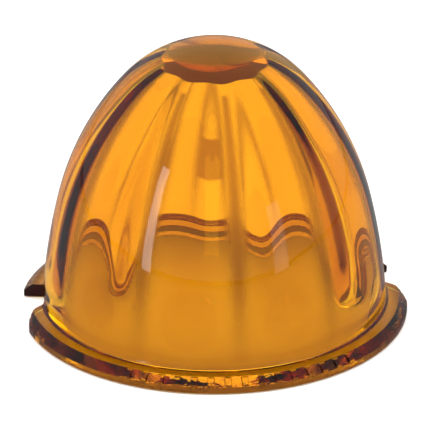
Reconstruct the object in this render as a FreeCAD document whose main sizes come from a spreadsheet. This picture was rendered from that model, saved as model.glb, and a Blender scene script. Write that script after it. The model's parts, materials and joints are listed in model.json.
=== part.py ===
"""Amber fluted glass dome lens, in one pressing.

Frame: origin at the centre of the flange's underside, +Z up along the dome's axis,
-Y the front, where the flange carries its moulded marks. Lengths are millimetres and
angles are degrees. Azimuths around the axis are counted from the front.
"""
import FreeCAD, Part
import math
import os
import Sketcher

NODE = "glass_lens"

DIMENSIONS = (
    # flange
    ("flange_radius", 39.7),
    ("flange_height", 2.8),
    ("bevel_width", 1.8),
    ("bevel_height", 1.4),
    ("rim_rounding", 0.3),
    # outer face of the dome: three tangent arcs from the foot to the crown
    ("overall_height", 57.3),
    ("foot_radius", 35.3),
    ("foot_taper", 4.4),
    ("side_arc", 126.0),
    ("shoulder_arc", 58.0),
    ("crown_arc", 25.0),
    ("foot_fillet", 0.8),
    # hollow: it follows the outer face at an even distance, up to a flat ceiling
    ("wall_thickness", 4.0),
    ("ceiling_height", 51.0),
    ("ceiling_rounding", 0.6),
    # flutes: grooves down the hollow's wall with rounded swells between them, both measured
    # as shares of the hollow's radius
    ("flute_count", 10),
    ("swell_height", 0.055),
    ("groove_depth", 0.008),
    ("groove_width", 5.0),
    ("flute_fade_start", 3.0),
    ("flute_fade_end", 17.0),
    # two notches through the flange, mirrored left and right
    ("notch_rear_azimuth", 104.0),
    ("notch_shoulder_azimuth", 77.0),
    ("notch_floor_radius", 34.1),
    ("notch_height", 4.6),
    ("notch_overrun", 3.0),
    # raised moulded marks across the bevel, around the front
    ("mark_count", 15),
    ("mark_span", 68.0),
    ("mark_width", 1.3),
    ("mark_proud", 0.4),
    ("mark_inset", 0.05),
)

CORE_SECTIONS = 14          # cross-sections that the fluted core is lofted through
CROWDING = 1.3              # above 1, the cross-sections gather towards the ceiling
POINTS_PER_FLUTE = 12       # points on each cross-section, for every flute
TOUCH = 1e-3                # how near two lengths count as the same

doc = FreeCAD.newDocument("glass_lens")
sheet = doc.addObject("Spreadsheet::Sheet", "Dimensions")
for row, (alias, value) in enumerate(DIMENSIONS, start=1):
    sheet.set(f"A{row}", alias)
    sheet.set(f"B{row}", str(value))
    sheet.setAlias(f"B{row}", alias)
doc.recompute()


def size(alias):
    """The sheet's value for a dimension."""
    return float(getattr(sheet, alias))


def at_azimuth(radius, azimuth):
    """Point on a circle about the axis, counted from the front towards +X."""
    angle = math.radians(azimuth)
    return FreeCAD.Vector(radius * math.sin(angle), -radius * math.cos(angle), 0)


body = doc.addObject("PartDesign::Body", "LensBody")
body.Label = NODE
body.Placement = FreeCAD.Placement()


def origin_feature(role):
    """One of the body's own origin planes or axes."""
    return next(item for item in body.Origin.OriginFeatures if item.Role == role)


def new_sketch(name, plane_role, height=None, swing=None):
    """Sketch on an origin plane: raised along its normal, or swung about its vertical."""
    sketch = body.newObject("Sketcher::SketchObject", name)
    sketch.AttachmentSupport = [(origin_feature(plane_role), "")]
    sketch.MapMode = "FlatFace"
    if swing:
        upright = FreeCAD.Rotation(FreeCAD.Vector(0, 1, 0), 1)
        sketch.AttachmentOffset = FreeCAD.Placement(FreeCAD.Vector(), upright)
        sketch.setExpression(".AttachmentOffset.Rotation.Angle", swing)
    if height:
        sketch.setExpression(".AttachmentOffset.Base.z", height)
    return sketch


def bind(sketch, constraint, name, expression):
    """Add a named dimension to a sketch and bind it to the sheet."""
    index = sketch.addConstraint(constraint)
    sketch.renameConstraint(index, name)
    sketch.setExpression(f"Constraints.{name}", expression)


def join(sketch, *pairs):
    """Make end points meet: each pair is (geometry, point, geometry, point)."""
    for pair in pairs:
        sketch.addConstraint(Sketcher.Constraint("Coincident", *pair))


START, END, CENTRE = 1, 2, 3
ORIGIN = (-1, 1)
X_AXIS, Y_AXIS = -1, -2


def line(start, end):
    return Part.LineSegment(start, end)


def arc(centre, radius, first, last):
    circle = Part.Circle(centre, FreeCAD.Vector(0, 0, 1), radius)
    return Part.ArcOfCircle(circle, first, last)


def heading(start, end):
    """Angle of the direction from one point to another."""
    return math.atan2(end.y - start.y, end.x - start.x)


def tangent_centre(side, side_radius, crown, crown_radius, radius):
    """Centre of the arc of a given radius that joins a side arc and a crown arc smoothly."""
    gap = crown - side
    reach_side = side_radius - radius
    reach_crown = radius - crown_radius
    along = (reach_side ** 2 - reach_crown ** 2 + gap.Length ** 2) / (2 * gap.Length)
    across = math.sqrt(reach_side ** 2 - along ** 2)
    forward = gap / gap.Length
    sideways = FreeCAD.Vector(forward.y, -forward.x, 0)
    return side + forward * along + sideways * across


def dome_arcs():
    """The dome's three tangent arcs from foot to crown: (centre, radius, first angle, last)."""
    side = size("side_arc")
    shoulder = size("shoulder_arc")
    crown = size("crown_arc")
    taper = math.radians(size("foot_taper"))
    inward = size("foot_radius") - side * math.cos(taper)
    side_centre = FreeCAD.Vector(inward, size("flange_height") - side * math.sin(taper), 0)
    crown_centre = FreeCAD.Vector(0, size("overall_height") - crown, 0)
    shoulder_centre = tangent_centre(side_centre, side, crown_centre, crown, shoulder)
    first_turn = heading(side_centre, shoulder_centre)
    second_turn = heading(shoulder_centre, crown_centre)
    return ((side_centre, side, taper, first_turn),
            (shoulder_centre, shoulder, first_turn, second_turn),
            (crown_centre, crown, second_turn, math.pi / 2))


def build_outside():
    """Solid dome on its flange, turned about the axis from half of its outline."""
    sketch = new_sketch("outline", "XZ_Plane")
    rim = size("flange_radius")
    base = size("flange_height")
    top = size("overall_height")
    foot = size("foot_radius")
    vector = FreeCAD.Vector
    side, shoulder, crown = dome_arcs()
    bevel_low = vector(rim, base - size("bevel_height"), 0)
    bevel_high = vector(rim - size("bevel_width"), base, 0)
    sketch.addGeometry([
        line(vector(0, 0, 0), vector(rim, 0, 0)),
        line(vector(rim, 0, 0), bevel_low),
        line(bevel_low, bevel_high),
        line(bevel_high, vector(foot, base, 0)),
        arc(*side),
        arc(*shoulder),
        arc(*crown),
        line(vector(0, top, 0), vector(0, 0, 0)),
    ], False)
    underside, rim_edge, bevel, upper, side_id, shoulder_id, crown_id, axis = range(8)
    side_centre, side_radius, taper, _ = side
    spoke = sketch.addGeometry(line(side_centre, vector(foot, base, 0)), True)

    join(sketch, (underside, START, *ORIGIN), (underside, END, rim_edge, START),
         (rim_edge, END, bevel, START), (bevel, END, upper, START), (upper, END, side_id, START),
         (crown_id, END, axis, START), (axis, END, *ORIGIN),
         (spoke, START, side_id, CENTRE), (spoke, END, side_id, START))
    for kind, item in (("Horizontal", underside), ("Horizontal", upper),
                       ("Vertical", rim_edge), ("Vertical", axis)):
        sketch.addConstraint(Sketcher.Constraint(kind, item))
    sketch.addConstraint(Sketcher.Constraint("Tangent", side_id, END, shoulder_id, START))
    sketch.addConstraint(Sketcher.Constraint("Tangent", shoulder_id, END, crown_id, START))
    sketch.addConstraint(Sketcher.Constraint("PointOnObject", crown_id, CENTRE, Y_AXIS))
    rule = Sketcher.Constraint
    bind(sketch, rule("DistanceX", *ORIGIN, rim_edge, START, rim), "rim", "Dimensions.flange_radius")
    bind(sketch, rule("DistanceY", *ORIGIN, upper, START, base), "base", "Dimensions.flange_height")
    bind(sketch, rule("DistanceX", bevel, END, bevel, START, size("bevel_width")), "bevel_width",
         "Dimensions.bevel_width")
    bind(sketch, rule("DistanceY", bevel, START, bevel, END, size("bevel_height")), "bevel_height",
         "Dimensions.bevel_height")
    bind(sketch, rule("DistanceX", *ORIGIN, side_id, START, foot), "foot", "Dimensions.foot_radius")
    bind(sketch, rule("DistanceY", *ORIGIN, crown_id, END, top), "top", "Dimensions.overall_height")
    bind(sketch, rule("Radius", side_id, side_radius), "side", "Dimensions.side_arc")
    bind(sketch, rule("Radius", shoulder_id, shoulder[1]), "shoulder", "Dimensions.shoulder_arc")
    bind(sketch, rule("Radius", crown_id, crown[1]), "crown", "Dimensions.crown_arc")
    bind(sketch, rule("Angle", X_AXIS, START, spoke, START, taper), "taper",
         "Dimensions.foot_taper * 1 deg")

    turned = body.newObject("PartDesign::Revolution", "outside")
    turned.Profile = sketch
    turned.ReferenceAxis = (sketch, ["V_Axis"])
    turned.Angle = 360
    doc.recompute()
    return turned


def core_radius(height):
    """Radius of the hollow before it is fluted, one wall thickness inside the outer face."""
    for centre, radius, _, last in dome_arcs():
        inner = radius - size("wall_thickness")
        if height <= centre.y + inner * math.sin(last):
            break
    return centre.x + math.sqrt(inner ** 2 - (height - centre.y) ** 2)


def flute_strength(height):
    """Flutes rise smoothly out of the plain foot: 0 below the fade, 1 above it."""
    start = size("flute_fade_start")
    share = (height - start) / (size("flute_fade_end") - start)
    share = min(max(share, 0), 1)
    return share * share * (3 - 2 * share)


def fluted_radius(height, azimuth):
    """Radius of the hollow's wall: a soft groove along each flute, a swell between two."""
    spacing = 2 * math.pi / size("flute_count")
    beside = (azimuth + spacing / 2) % spacing - spacing / 2
    groove = size("groove_depth") * math.exp(-(math.degrees(beside) / size("groove_width")) ** 2)
    swell = size("swell_height") * (1 - math.cos(size("flute_count") * azimuth)) / 2
    return core_radius(height) * (1 + flute_strength(height) * (groove - swell))


def core_section(index):
    """Sketch of the fluted core's cross-section at one level."""
    share = 1 - (1 - index / (CORE_SECTIONS - 1)) ** CROWDING
    level = f"Dimensions.ceiling_height * {share:.6f}"
    sketch = new_sketch(f"core_{index:02d}", "XY_Plane", height=level)
    count = int(size("flute_count")) * POINTS_PER_FLUTE
    height = size("ceiling_height") * share
    points = []
    for step in range(count):
        azimuth = 2 * math.pi * step / count
        points.append(at_azimuth(fluted_radius(height, azimuth), math.degrees(azimuth)))
    curve = Part.BSplineCurve()
    curve.interpolate(Points=points, PeriodicFlag=True)
    sketch.addGeometry(curve, False)
    return sketch


def cut_hollow():
    """Hollow for the bulb, pressed by a fluted core."""
    sections = [core_section(index) for index in range(CORE_SECTIONS)]
    hollow = body.newObject("PartDesign::SubtractiveLoft", "hollow")
    hollow.Profile = sections[0]
    hollow.Sections = sections[1:]
    hollow.Ruled = False
    doc.recompute()
    return hollow


def cut_notches():
    """Notch through the flange on the right, and its mirror image on the left.

    Its rear side is radial. Its front side is a round nose that leaves the rim smoothly at the
    shoulder and meets the notch's floor, an arc about the dome's axis, on the X axis.
    """
    sketch = new_sketch("notch_outline", "XY_Plane")
    rim = size("flange_radius")
    floor = size("notch_floor_radius")
    rear = size("notch_rear_azimuth")
    shoulder = size("notch_shoulder_azimuth")
    clear = rim + size("notch_overrun")
    toward = at_azimuth(1, shoulder)
    corner = at_azimuth(floor, 90)
    inset = rim - corner.dot(toward)
    rounding = (rim ** 2 + floor ** 2 - 2 * rim * corner.dot(toward)) / (2 * inset)
    centre = toward * (rim - rounding)
    touch = toward * rim
    sketch.addGeometry([
        line(at_azimuth(floor, rear), at_azimuth(clear, rear)),
        line(at_azimuth(clear, rear), at_azimuth(clear, shoulder)),
        line(at_azimuth(clear, shoulder), touch),
        arc(centre, rounding, heading(centre, touch), heading(centre, corner)),
        arc(FreeCAD.Vector(), floor, 0, math.radians(rear - 90)),
    ], False)
    rear_side, outer_side, shoulder_side, nose, wall = range(5)
    join(sketch, (rear_side, END, outer_side, START), (outer_side, END, shoulder_side, START),
         (shoulder_side, END, nose, START), (nose, END, wall, START),
         (wall, END, rear_side, START), (wall, CENTRE, *ORIGIN))
    rule = Sketcher.Constraint
    sketch.addConstraint(rule("PointOnObject", *ORIGIN, rear_side))
    sketch.addConstraint(rule("PointOnObject", *ORIGIN, shoulder_side))
    sketch.addConstraint(rule("PointOnObject", nose, CENTRE, shoulder_side))
    sketch.addConstraint(rule("PointOnObject", nose, END, X_AXIS))
    bind(sketch, rule("Radius", wall, floor), "floor", "Dimensions.notch_floor_radius")
    bind(sketch, rule("Distance", *ORIGIN, nose, START, rim), "rim", "Dimensions.flange_radius")
    bind(sketch, rule("Distance", *ORIGIN, rear_side, END, clear), "rear_end",
         "Dimensions.flange_radius + Dimensions.notch_overrun")
    bind(sketch, rule("Distance", *ORIGIN, shoulder_side, START, clear), "shoulder_end",
         "Dimensions.flange_radius + Dimensions.notch_overrun")
    bind(sketch, rule("Angle", X_AXIS, START, rear_side, START, math.radians(rear - 90)), "rear",
         "(Dimensions.notch_rear_azimuth - 90) * 1 deg")
    bind(sketch, rule("Angle", shoulder_side, END, X_AXIS, START, math.radians(90 - shoulder)),
         "shoulder", "(90 - Dimensions.notch_shoulder_azimuth) * 1 deg")
    pocket = body.newObject("PartDesign::Pocket", "notch")
    pocket.Profile = sketch
    pocket.Reversed = True
    pocket.setExpression("Length", "Dimensions.notch_height")
    doc.recompute()
    mirrored = body.newObject("PartDesign::Mirrored", "notch_pair")
    mirrored.Originals = [pocket]
    mirrored.MirrorPlane = (origin_feature("YZ_Plane"), [""])
    body.Tip = mirrored
    doc.recompute()
    return mirrored


def raise_marks():
    """Row of plain raised bars across the bevel, as generic moulded marks.

    A bar fills back a strip of the corner that the bevel takes off, so it stays inside the
    rim's circle and below the flange's upper face.
    """
    sketch = new_sketch("mark_outline", "YZ_Plane", swing="-Dimensions.mark_span / 2 * 1 deg")
    inset = size("mark_inset")
    edge = size("flange_radius") - inset
    roof = size("flange_height") - inset
    width = size("bevel_width")
    drop = size("bevel_height")
    slope = math.atan2(drop, width)
    rise = size("mark_proud") / math.cos(slope)
    run = size("mark_proud") / math.sin(slope)
    corners = [
        FreeCAD.Vector(-edge, roof - drop, 0),
        FreeCAD.Vector(-edge, roof - drop + rise, 0),
        FreeCAD.Vector(-edge + width - run, roof, 0),
        FreeCAD.Vector(-edge + width, roof, 0),
        FreeCAD.Vector(-edge + width, roof - drop, 0),
    ]
    sides = [line(corners[i - 1], corners[i]) for i in range(len(corners))]
    sketch.addGeometry(sides, False)
    base, outer, slant, top, inner = range(len(sides))
    for first, second in ((base, outer), (outer, slant), (slant, top), (top, inner), (inner, base)):
        join(sketch, (first, END, second, START))
    for kind, side in (("Horizontal", base), ("Vertical", outer), ("Horizontal", top),
                       ("Vertical", inner)):
        sketch.addConstraint(Sketcher.Constraint(kind, side))
    rule = Sketcher.Constraint
    bind(sketch, rule("DistanceX", outer, START, *ORIGIN, edge), "edge",
         "Dimensions.flange_radius - Dimensions.mark_inset")
    bind(sketch, rule("DistanceY", *ORIGIN, top, START, roof), "roof",
         "Dimensions.flange_height - Dimensions.mark_inset")
    bind(sketch, rule("DistanceX", outer, START, inner, START, width), "width",
         "Dimensions.bevel_width")
    bind(sketch, rule("DistanceY", inner, END, inner, START, drop), "drop",
         "Dimensions.bevel_height")
    slope_text = "atan(Dimensions.bevel_height / Dimensions.bevel_width)"
    bind(sketch, rule("DistanceY", outer, START, outer, END, rise), "rise",
         f"Dimensions.mark_proud / cos({slope_text})")
    bind(sketch, rule("DistanceX", top, START, top, END, run), "run",
         f"Dimensions.mark_proud / sin({slope_text})")
    bar = body.newObject("PartDesign::Pad", "mark")
    bar.Profile = sketch
    bar.SideType = "Symmetric"
    bar.setExpression("Length", "Dimensions.mark_width")
    doc.recompute()
    row = body.newObject("PartDesign::PolarPattern", "mark_row")
    row.Originals = [bar]
    row.Axis = (origin_feature("Z_Axis"), [""])
    row.setExpression("Angle", "Dimensions.mark_span * 1 deg")
    row.setExpression("Occurrences", "Dimensions.mark_count")
    body.Tip = row
    doc.recompute()
    return row


def round_edges(name, radius, wanted):
    """Fillet on every edge of the body that the test picks."""
    base = body.Tip
    names = [f"Edge{i}" for i, edge in enumerate(base.Shape.Edges, start=1) if wanted(edge)]
    if not names:
        raise RuntimeError(f"{name}: no edge found")
    fillet = body.newObject("PartDesign::Fillet", name)
    fillet.Base = (base, names)
    fillet.setExpression("Radius", radius)
    body.Tip = fillet
    doc.recompute()
    return fillet


def level_edge(height, radius=None):
    """Test for a level edge at this height and, if given, on this circle about the axis."""
    def wanted(edge):
        box = edge.BoundBox
        if max(abs(box.ZMin - height), abs(box.ZMax - height)) > TOUCH:
            return False
        if radius is None:
            return True
        return isinstance(edge.Curve, Part.Circle) and abs(edge.Curve.Radius - radius) < TOUCH
    return wanted


def check(feature, before=None, grows=True):
    """Stop unless the feature is sound, one solid, and changed the volume the right way."""
    bad = {"Invalid", "Error"} & set(feature.State)
    shape = feature.Shape
    if bad or shape.isNull() or not shape.isValid() or len(shape.Solids) != 1:
        raise RuntimeError(f"{feature.Name} failed: {feature.State}")
    if before is not None and (shape.Volume > before) is not grows:
        raise RuntimeError(f"{feature.Name} changed the volume the wrong way")
    return shape.Volume


def build_lens():
    volume = check(build_outside())
    foot = level_edge(size("flange_height"), size("foot_radius"))
    volume = check(round_edges("foot_rounding", "Dimensions.foot_fillet", foot), volume, grows=True)
    rim = level_edge(0, size("flange_radius"))
    volume = check(round_edges("rim_edge_rounding", "Dimensions.rim_rounding", rim), volume, grows=False)
    volume = check(cut_notches(), volume, grows=False)
    volume = check(raise_marks(), volume, grows=True)
    check(cut_hollow(), volume, grows=False)
    ceiling = level_edge(size("ceiling_height"))
    check(round_edges("ceiling_edge_rounding", "Dimensions.ceiling_rounding", ceiling))


def export():
    """Check every object of the document, then write the part."""
    doc.recompute()
    for item in doc.Objects:
        if {"Invalid", "Error"} & set(item.State):
            raise RuntimeError(f"{item.Name} is {item.State}")
    check(body)
    os.makedirs("parts", exist_ok=True)
    body.Shape.exportStep(os.path.join("parts", f"{body.Label}.step"))


build_lens()
export()
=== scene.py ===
"""Amber fluted glass dome lens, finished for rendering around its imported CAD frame.

Lengths are millimetres until the mesh is scaled to metres. Azimuths are counted from the lens's
front, -Y, towards +X.
"""
import json
import math

import bmesh
import bpy
import numpy as np
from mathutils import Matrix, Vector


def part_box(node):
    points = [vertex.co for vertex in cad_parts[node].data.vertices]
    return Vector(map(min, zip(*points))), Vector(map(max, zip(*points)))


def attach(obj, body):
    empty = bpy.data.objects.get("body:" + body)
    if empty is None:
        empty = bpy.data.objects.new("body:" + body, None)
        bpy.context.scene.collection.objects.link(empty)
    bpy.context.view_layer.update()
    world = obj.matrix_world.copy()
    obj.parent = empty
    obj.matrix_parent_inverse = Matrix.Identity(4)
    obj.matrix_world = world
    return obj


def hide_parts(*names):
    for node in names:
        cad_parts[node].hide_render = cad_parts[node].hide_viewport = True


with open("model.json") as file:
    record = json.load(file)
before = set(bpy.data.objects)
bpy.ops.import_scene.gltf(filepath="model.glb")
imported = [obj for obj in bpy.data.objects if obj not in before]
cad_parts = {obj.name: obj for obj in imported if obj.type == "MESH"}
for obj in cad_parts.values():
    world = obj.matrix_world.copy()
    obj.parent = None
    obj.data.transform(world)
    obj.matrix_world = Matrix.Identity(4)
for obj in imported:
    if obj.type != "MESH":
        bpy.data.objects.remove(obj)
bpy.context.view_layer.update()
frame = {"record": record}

MM = 0.001

# ---------------------------------------------------------------- sizes from the frame

mounts = {mount["name"]: mount for mount in frame["record"]["mounts"]}
RIM = mounts["flange_rim"]["dims"]["r_mm"]
BASE = mounts["bezel_face"]["pos_m"][2] / MM
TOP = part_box("glass_lens")[1].z / MM

# ---------------------------------------------------------------- sizes from the lens's design

BEVEL_WIDTH, BEVEL_HEIGHT = 1.8, 1.4
RIM_ROUNDING = 0.3
FOOT_RADIUS, FOOT_TAPER, FOOT_FILLET = 35.3, math.radians(4.4), 0.8
SIDE_ARC, SHOULDER_ARC, CROWN_ARC = 126.0, 58.0, 25.0
WALL = 4.0
CEILING_HEIGHT, CEILING_ROUNDING = 51.0, 0.6
FLUTES, FLUTE_DEPTH, FLUTE_WIDTH, PILLOW = 10, 0.008, math.radians(5.0), 0.055
FADE_START, FADE_END = 3.0, 17.0
NOTCH_SHOULDER, NOTCH_CORNER, NOTCH_REAR = math.radians(77), math.radians(90), math.radians(104)
NOTCH_FLOOR, NOTCH_HEIGHT = 34.1, 4.6
MARKS, MARK_SPAN = 15, math.radians(68)
MARK_WIDTH, MARK_PROUD, MARK_INSET = 1.3, 0.4, 0.05

# ---------------------------------------------------------------- fineness of the mesh

COLUMNS, WALL_RINGS, DOME_RINGS = 400, 70, 76
CEILING_RINGS = (0.15, 0.35, 0.6, 0.8)      # shares of the ceiling's radius
ROUNDING_RINGS = 6
ROUNDING_REACH = 0.47                       # reach of the ceiling's rounding, per its radius
UNDERSIDE_RINGS = (0.35, 0.7)               # shares of the way from the mouth to the rim
MARK_RAMP = 0.06                            # half the length of the step up to a raised mark
SLOPE_STEP = 0.1                            # height over which the wall's slope is measured
SAME_POINT = 2e-4                           # vertices nearer than this are merged
SHARP_ANGLE = math.radians(30)

# ---------------------------------------------------------------- looks of the glass

REFRACTION = 1.5
TINT = (1.0, 0.73, 0.28, 1.0)               # of clear glass, at each surface
BROWN = (0.30, 0.14, 0.04, 1.0)             # painted shade: colour of the fully browned flutes and rim, at each surface
ABSORBED = (0.031, 0.070, 0.45)             # red, green and blue lost per millimetre of glass
RIM_SHARE, FLUTE_SHARE = 0.5, 0.9           # how far the flange's rim and the flutes are browned with painted shade; the flutes' share also sets how dull they are
# band along each flute that is dull and browned with painted shade, and the heights between which it
# runs
DULL_SHADE_WIDTH, DULL_ROUGHNESS = math.radians(3.6), 0.5
DULL_SHADE_START, DULL_SHADE_END = 0.5, CEILING_HEIGHT - 1.5
PATCH_AZIMUTH, PATCH_WIDTH = math.radians(-171), math.radians(18)
PATCH_LOW, PATCH_HIGH = 15.0, 25.0
RIPPLE_SCALE, RIPPLE_STRENGTH, RIPPLE_DEPTH = 700.0, 0.35, 0.3

# ---------------------------------------------------------------- light and floor

ROOM, OVERHEAD, SIDE, LEFT_STRIP, RIGHT_STRIP = 0.45, 2.4, 2.8, 4.0, 1.0
FLOOR_SIZE, FLOOR_DROP = 6.0, 0.2
FLOOR_SHADE, REFLECTED_SHADE = 0.9, 0.2     # the floor seen directly, and in reflections
LIGHT_PATHS = 32

# ---------------------------------------------------------------- outer face


def heading(start, end):
    return math.atan2(end[1] - start[1], end[0] - start[0])


def tangent_centre(side, crown):
    """Centre of the shoulder arc, which joins the side arc and the crown arc smoothly."""
    gap = crown - side
    distance = np.linalg.norm(gap)
    reach_side = SIDE_ARC - SHOULDER_ARC
    reach_crown = SHOULDER_ARC - CROWN_ARC
    along = (reach_side ** 2 - reach_crown ** 2 + distance ** 2) / (2 * distance)
    across = math.sqrt(reach_side ** 2 - along ** 2)
    forward = gap / distance
    return side + forward * along + np.array([forward[1], -forward[0]]) * across


def bend(centre, radius, begin, end, steps, last=True):
    """Points (radius, height) along an arc between two angles in radians."""
    angles = np.linspace(begin, end, steps, endpoint=last)
    return [(centre[0] + radius * math.cos(angle), centre[1] + radius * math.sin(angle))
            for angle in angles]


def dome_arcs():
    """The dome's three tangent arcs from foot to crown: (centre, radius, first angle, last)."""
    side = np.array([FOOT_RADIUS - SIDE_ARC * math.cos(FOOT_TAPER),
                     BASE - SIDE_ARC * math.sin(FOOT_TAPER)])
    crown = np.array([0.0, TOP - CROWN_ARC])
    shoulder = tangent_centre(side, crown)
    first = heading(side, shoulder)
    second = heading(shoulder, crown)
    return ((side, SIDE_ARC, FOOT_TAPER, first), (shoulder, SHOULDER_ARC, first, second),
            (crown, CROWN_ARC, second, math.pi / 2))


def dome_outline(steps):
    """Points (radius, height) up the dome: below the notches' ledge, and above it."""
    arcs = list(dome_arcs())
    side, radius, _, first = arcs[0]
    start = math.asin((BASE + FOOT_FILLET - side[1]) / radius)
    ledge = math.asin((NOTCH_HEIGHT - side[1]) / radius)
    arcs[0] = (side, radius, ledge, first)
    total = sum(radius * (end - begin) for _, radius, begin, end in arcs)
    high = []
    for centre, radius, begin, end in arcs:
        count = max(4, round(steps * radius * (end - begin) / total))
        high += bend(centre, radius, begin, end, count, last=False)
    return bend(side, SIDE_ARC, start, ledge, 3)[1:], high


def flange_outline():
    """Points (radius, height) from the rim's underside up to the foot, with the bar-topped bevel.

    Each row holds the plain outline's point and the point it moves to on a raised mark.
    """
    rows = []
    for point in bend((RIM - RIM_ROUNDING, RIM_ROUNDING), RIM_ROUNDING, -math.pi / 2, 0, 5):
        rows.append((point, point))
    for height in (0.8, BASE - BEVEL_HEIGHT):
        rows.append(((RIM, height), (RIM, height)))
    slope = math.atan2(BEVEL_HEIGHT, BEVEL_WIDTH)
    edge = RIM - MARK_INSET
    roof = BASE - MARK_INSET
    rise = MARK_PROUD / math.cos(slope)
    run = MARK_PROUD / math.sin(slope)
    bar = ((edge, BASE - BEVEL_HEIGHT + 0.02), (edge, roof - BEVEL_HEIGHT + rise),
           (edge - BEVEL_WIDTH + run, roof), (edge - BEVEL_WIDTH + 0.1, roof))
    for share, raised in zip((0.04, 0.3, 0.7, 0.95), bar):
        plain = (RIM - BEVEL_WIDTH * share, BASE - BEVEL_HEIGHT * (1 - share))
        rows.append((plain, raised))
    for radius in (RIM - BEVEL_WIDTH, RIM - BEVEL_WIDTH - 0.1, FOOT_RADIUS + FOOT_FILLET + 0.6):
        rows.append(((radius, BASE), (radius, BASE)))
    centre = (FOOT_RADIUS + FOOT_FILLET, BASE + FOOT_FILLET)
    for point in bend(centre, FOOT_FILLET, -math.pi / 2, -math.pi, 7):
        rows.append((point, point))
    return rows


# ---------------------------------------------------------------- inner face


def core_radius(height):
    """Mean radius of the hollow, which follows the dome's outside at an even distance."""
    for centre, radius, _, end in dome_arcs():
        inner = radius - WALL
        if height <= centre[1] + inner * math.sin(end):
            break
    return centre[0] + math.sqrt(inner ** 2 - (height - centre[1]) ** 2)


def fluted_radius(height, azimuth):
    """Radius of the hollow's wall, deepest along each flute."""
    share = np.clip((height - FADE_START) / (FADE_END - FADE_START), 0, 1)
    strength = share ** 2 * (3 - 2 * share)
    spacing = 2 * math.pi / FLUTES
    beside = (azimuth + spacing / 2) % spacing - spacing / 2
    wave = FLUTE_DEPTH * np.exp(-(beside / FLUTE_WIDTH) ** 2)
    wave = wave - PILLOW * (1 - np.cos(FLUTES * azimuth)) / 2
    return core_radius(height) * (1 + strength * wave)


# ---------------------------------------------------------------- plan of the flange


def notched_rim(azimuth):
    """Radius of the flange's outline, with a notch on each side."""
    turn = abs(azimuth)
    corner = NOTCH_FLOOR * math.cos(NOTCH_CORNER - NOTCH_SHOULDER)
    rounding = (RIM ** 2 + NOTCH_FLOOR ** 2 - 2 * RIM * corner) / (2 * (RIM - corner))
    if NOTCH_SHOULDER < turn < NOTCH_CORNER:
        offset = (RIM - rounding) * math.sin(turn - NOTCH_SHOULDER)
        along = (RIM - rounding) * math.cos(turn - NOTCH_SHOULDER)
        return along + math.sqrt(rounding ** 2 - offset ** 2)
    if NOTCH_CORNER <= turn < NOTCH_REAR:
        return NOTCH_FLOOR
    return RIM


def mesh_columns(count):
    """Columns (azimuth, rim radius, share of a raised mark), in order round the axis."""
    ramp = MARK_RAMP / RIM
    half = MARK_WIDTH / 2 / RIM
    centres = np.linspace(-MARK_SPAN / 2, MARK_SPAN / 2, MARKS)
    columns = []
    for azimuth in np.linspace(-math.pi, math.pi, count, endpoint=False):
        gap = np.min(np.abs(centres - azimuth))
        if abs(gap - half) > 2 * ramp:
            columns.append((azimuth, notched_rim(azimuth), float(gap < half)))
    for centre in centres:
        for side in (-1, 1):
            columns.append((centre + side * (half - ramp), RIM, 1.0))
            columns.append((centre + side * (half + ramp), RIM, 0.0))
    for side in (-1, 1):
        columns.append((side * NOTCH_REAR * (1 - 1e-9), NOTCH_FLOOR, 0.0))
        columns.append((side * NOTCH_REAR * (1 + 1e-9), RIM, 0.0))
        columns.append((side * NOTCH_CORNER, NOTCH_FLOOR, 0.0))
        columns.append((side * NOTCH_SHOULDER, RIM, 0.0))
    return sorted(columns)


# ---------------------------------------------------------------- the lens's mesh


def lens_rings(azimuth, rim, mark):
    """Rings (radius, height) from the ceiling's middle, down the hollow, and up the outside."""
    rings = []
    edge = fluted_radius(CEILING_HEIGHT, azimuth)
    lean = (fluted_radius(CEILING_HEIGHT - SLOPE_STEP, azimuth) - edge) / SLOPE_STEP
    reach = CEILING_ROUNDING * ROUNDING_REACH
    for share in CEILING_RINGS:
        rings.append(((edge - reach) * share, CEILING_HEIGHT))
    drop = reach / np.sqrt(1 + lean ** 2)
    for share in np.linspace(0, 1, ROUNDING_RINGS):
        inward = (1 - share) ** 2
        down = share ** 2
        rings.append((edge - reach * inward + lean * drop * down, CEILING_HEIGHT - drop * down))
    wall_top = float(np.min(CEILING_HEIGHT - drop)) - 0.25
    for share in np.linspace(0, 1, WALL_RINGS):
        height = wall_top * (1 - share) ** 0.85
        rings.append((fluted_radius(height, azimuth), height))
    underside_end = np.minimum(RIM - RIM_ROUNDING, rim)
    for share in UNDERSIDE_RINGS:
        rings.append((core_radius(0) + (underside_end - core_radius(0)) * share, 0.0))
    low, high = dome_outline(DOME_RINGS)
    for plain, raised in flange_outline() + [(point, point) for point in low]:
        radius = plain[0] + (raised[0] - plain[0]) * mark
        height = plain[1] + (raised[1] - plain[1]) * mark
        rings.append((np.minimum(radius, rim), height))
    rings += high
    return rings


def dull_and_shade_shares(mesh):
    """Per vertex, how far the plunger dulled the hollow's wall and how far it is browned with painted
    shade: 0 is clear, 1 is dullest and fully brown.

    It is dull along each flute, where the plunger's ridges ran, and browned there with painted shade
    in place of the flutes' dark strips; a plain square patch at the rear is dull and brown
    throughout.
    """
    spacing = 2 * math.pi / FLUTES
    shares = []
    for vertex in mesh.vertices:
        x, y, height = vertex.co / MM
        radius = math.hypot(x, y)
        inside = DULL_SHADE_START < height < DULL_SHADE_END and radius < core_radius(height) + WALL / 2
        azimuth = math.atan2(x, -y)
        beside = (azimuth + spacing / 2) % spacing - spacing / 2
        share = FLUTE_SHARE * math.exp(-(beside / DULL_SHADE_WIDTH) ** 2) * min(1.0, height / FADE_END)
        if abs(azimuth - PATCH_AZIMUTH) < PATCH_WIDTH / 2 and PATCH_LOW < height < PATCH_HIGH:
            share = 1.0
        shares.append(share if inside else 0.0)
    return shares


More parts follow.
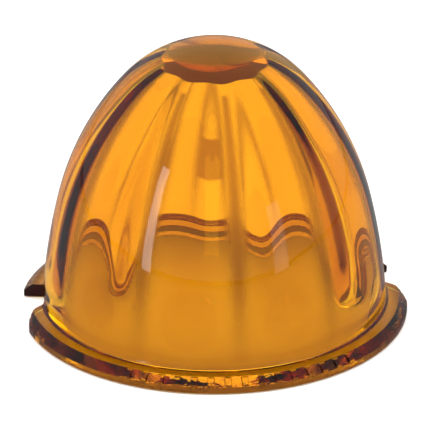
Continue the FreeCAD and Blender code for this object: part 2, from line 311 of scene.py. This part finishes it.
def build_lens(name):
    """Closed mesh of the lens in metres."""
    azimuth, rim, mark = (np.array(values) for values in zip(*mesh_columns(COLUMNS)))
    rings = lens_rings(azimuth, rim, mark)
    count = len(azimuth)
    points = [(0.0, 0.0, CEILING_HEIGHT), (0.0, 0.0, TOP)]
    for radius, height in rings:
        radius = radius + np.zeros(count)
        height = height + np.zeros(count)
        points += zip(radius * np.sin(azimuth), -radius * np.cos(azimuth), height)
    faces = []
    for column in range(count):
        beside = (column + 1) % count
        faces.append((0, 2 + beside, 2 + column))
        for ring in range(len(rings) - 1):
            here = 2 + ring * count
            faces.append((here + column, here + beside, here + count + beside, here + count + column))
        last = 2 + (len(rings) - 1) * count
        faces.append((1, last + column, last + beside))
    mesh = bpy.data.meshes.new(name)
    mesh.from_pydata((np.array(points) * MM).tolist(), [], faces)
    work = bmesh.new()
    work.from_mesh(mesh)
    bmesh.ops.remove_doubles(work, verts=work.verts, dist=SAME_POINT * MM)
    bmesh.ops.recalc_face_normals(work, faces=work.faces)
    work.to_mesh(mesh)
    work.free()
    # the hollow's per-vertex dullness and painted shade, for the glass material
    dull_and_shade = mesh.attributes.new("dull_and_shade", "FLOAT", "POINT")
    dull_and_shade.data.foreach_set("value", dull_and_shade_shares(mesh))
    mesh.shade_smooth()
    mesh.set_sharp_from_angle(angle=SHARP_ANGLE)
    lens = bpy.data.objects.new(name, mesh)
    bpy.context.scene.collection.objects.link(lens)
    return lens


lens = build_lens("lens_glass")

# ---------------------------------------------------------------- materials


def new_material(name):
    """Empty node material: (material, nodes, links)."""
    material = bpy.data.materials.new(name)
    material.use_nodes = True
    nodes = material.node_tree.nodes
    nodes.clear()
    return material, nodes, material.node_tree.links


def arithmetic(nodes, links, operation, first, second):
    """Output of a Math node on an output and either a second output or a number."""
    node = nodes.new("ShaderNodeMath")
    node.operation = operation
    links.new(first, node.inputs[0])
    if isinstance(second, float):
        node.inputs[1].default_value = second
    else:
        links.new(second, node.inputs[1])
    return node.outputs["Value"]


def rim_share(nodes, links, position):
    """Output that rises from 0 at the dome's foot to RIM_SHARE at the flange's bevel: how far the rim
    is browned with painted shade.
    """
    flat = nodes.new("ShaderNodeVectorMath")
    flat.operation = "MULTIPLY"
    flat.inputs[1].default_value = (1, 1, 0)
    radius = nodes.new("ShaderNodeVectorMath")
    radius.operation = "LENGTH"
    share = nodes.new("ShaderNodeMapRange")
    share.inputs["From Min"].default_value = (FOOT_RADIUS + FOOT_FILLET) * MM
    share.inputs["From Max"].default_value = (RIM - BEVEL_WIDTH) * MM
    share.inputs["To Max"].default_value = RIM_SHARE
    links.new(position, flat.inputs[0])
    links.new(flat.outputs["Vector"], radius.inputs[0])
    links.new(radius.outputs["Value"], share.inputs["Value"])
    return share.outputs["Result"]


def between_tints(nodes, links, share):
    """Colour that goes from the clear tint to the brown of painted shade."""
    mix = nodes.new("ShaderNodeMix")
    mix.data_type = "RGBA"
    factor, clear, brown = (mix.inputs[index] for index in (0, 6, 7))
    clear.default_value = TINT
    brown.default_value = BROWN
    links.new(share, factor)
    return mix.outputs[2]


def rippled_normal(nodes, links, position, strength):
    """Normal of a finely uneven surface."""
    noise = nodes.new("ShaderNodeTexNoise")
    noise.inputs["Scale"].default_value = RIPPLE_SCALE
    bump = nodes.new("ShaderNodeBump")
    bump.inputs["Distance"].default_value = RIPPLE_DEPTH * MM
    links.new(position, noise.inputs["Vector"])
    links.new(strength, bump.inputs["Strength"])
    links.new(noise.outputs["Fac"], bump.inputs["Height"])
    return bump.outputs["Normal"]


def amber_glass():
    """Clear amber glass, rippled on the flange's rim and dull on the flutes; browner on both with
    painted shade.
    """
    material, nodes, links = new_material("amber_glass")
    position = nodes.new("ShaderNodeTexCoord").outputs["Object"]
    # the hollow's per-vertex dullness and painted shade
    dull_and_shade = nodes.new("ShaderNodeAttribute")
    dull_and_shade.attribute_name = "dull_and_shade"
    rim = rim_share(nodes, links, position)
    # how brown each point is: painted shade along the flutes and on the rim, and the rear patch's
    # brown
    brown = arithmetic(nodes, links, "MAXIMUM", dull_and_shade.outputs["Fac"], rim)
    roughness = arithmetic(nodes, links, "MULTIPLY", dull_and_shade.outputs["Fac"], DULL_ROUGHNESS)
    strength = arithmetic(nodes, links, "MULTIPLY", rim, RIPPLE_STRENGTH / RIM_SHARE)

    surface = nodes.new("ShaderNodeBsdfPrincipled")
    surface.inputs["IOR"].default_value = REFRACTION
    surface.inputs["Transmission Weight"].default_value = 1.0
    links.new(between_tints(nodes, links, brown), surface.inputs["Base Color"])
    links.new(roughness, surface.inputs["Roughness"])
    links.new(rippled_normal(nodes, links, position, strength), surface.inputs["Normal"])

    volume = nodes.new("ShaderNodeVolumeAbsorption")
    volume.inputs["Color"].default_value = [1 - lost for lost in ABSORBED] + [1.0]
    volume.inputs["Density"].default_value = 1 / MM
    output = nodes.new("ShaderNodeOutputMaterial")
    links.new(surface.outputs["BSDF"], output.inputs["Surface"])
    links.new(volume.outputs["Volume"], output.inputs["Volume"])
    return material


def pale_floor():
    """Matt white floor, seen dimly in reflections."""
    material, nodes, links = new_material("pale_floor")
    mix = nodes.new("ShaderNodeMixShader")
    for socket, shade in ((1, FLOOR_SHADE), (2, REFLECTED_SHADE)):
        matt = nodes.new("ShaderNodeBsdfDiffuse")
        matt.inputs["Color"].default_value = (shade, shade, shade, 1.0)
        links.new(matt.outputs["BSDF"], mix.inputs[socket])
    path = nodes.new("ShaderNodeLightPath")
    mirrored = nodes.new("ShaderNodeMath")
    mirrored.operation = "SUBTRACT"
    mirrored.use_clamp = True
    links.new(path.outputs["Is Glossy Ray"], mirrored.inputs[0])
    links.new(path.outputs["Is Transmission Ray"], mirrored.inputs[1])
    links.new(mirrored.outputs["Value"], mix.inputs["Fac"])
    output = nodes.new("ShaderNodeOutputMaterial")
    links.new(mix.outputs["Shader"], output.inputs["Surface"])
    return material


lens.data.materials.append(amber_glass())
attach(lens, "root")
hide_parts("glass_lens")

# ---------------------------------------------------------------- floor and light

bpy.ops.mesh.primitive_plane_add(size=FLOOR_SIZE, location=(0, 0, -FLOOR_DROP * MM))
floor = bpy.context.object
floor.name = "floor"
floor.data.materials.append(pale_floor())


def studio_world(strength):
    """Dim, even room."""
    world = bpy.data.worlds.new("studio")
    bpy.context.scene.world = world
    world.use_nodes = True
    background = world.node_tree.nodes["Background"]
    background.inputs["Color"].default_value = (1.0, 1.0, 1.0, 1.0)
    background.inputs["Strength"].default_value = strength


def soft_box(name, azimuth, elevation, distance, width, height, radiance, glossy=True):
    """Rectangular soft light that faces the lens."""
    data = bpy.data.lights.new(name, "AREA")
    data.shape = "RECTANGLE"
    data.size = width
    data.size_y = height
    data.energy = radiance * math.pi * width * height
    light = bpy.data.objects.new(name, data)
    bpy.context.scene.collection.objects.link(light)
    azimuth = math.radians(azimuth)
    elevation = math.radians(elevation)
    light.location = (distance * math.sin(azimuth) * math.cos(elevation),
                      -distance * math.cos(azimuth) * math.cos(elevation),
                      distance * math.sin(elevation))
    light.rotation_euler = (math.pi / 2 - elevation, 0, azimuth)
    light.visible_glossy = glossy
    return light


studio_world(ROOM)
soft_box("overhead", -8.8, 88, 1.0, 1.2, 1.2, OVERHEAD, glossy=False)
soft_box("left_side", -100, 35, 1.0, 1.0, 0.8, SIDE, glossy=False)
soft_box("right_side", 80, 35, 1.0, 1.0, 0.8, SIDE, glossy=False)
soft_box("left_strip", -55, 15, 0.9, 0.10, 0.7, LEFT_STRIP)
soft_box("right_strip", 37, 10, 0.9, 0.16, 0.4, RIGHT_STRIP)

# ---------------------------------------------------------------- camera

VIEW_AZIMUTH, VIEW_ELEVATION = math.radians(-8.8), math.radians(23.9)
DISTANCE, AIM_HEIGHT = 0.5, 0.02001
SENSOR, LENS, SHIFT = 36.0, 206.0, 0.0016
back = np.array([math.sin(VIEW_AZIMUTH) * math.cos(VIEW_ELEVATION),
                 -math.cos(VIEW_AZIMUTH) * math.cos(VIEW_ELEVATION), math.sin(VIEW_ELEVATION)])
camera = bpy.data.objects.new("camera", bpy.data.cameras.new("camera"))
bpy.context.scene.collection.objects.link(camera)
camera.location = back * DISTANCE + np.array([0, 0, AIM_HEIGHT])
camera.rotation_euler = (math.pi / 2 - VIEW_ELEVATION, 0, VIEW_AZIMUTH)
camera.data.sensor_width = SENSOR
camera.data.lens = LENS
camera.data.shift_x = SHIFT
bpy.context.scene.camera = camera
bpy.context.scene.view_settings.view_transform = "Standard"

# Light crosses the glass many times in the flange and the flutes, so its paths are let run long.
bpy.context.scene.cycles.max_bounces = LIGHT_PATHS
bpy.context.scene.cycles.glossy_bounces = LIGHT_PATHS
bpy.context.scene.cycles.transmission_bounces = LIGHT_PATHS
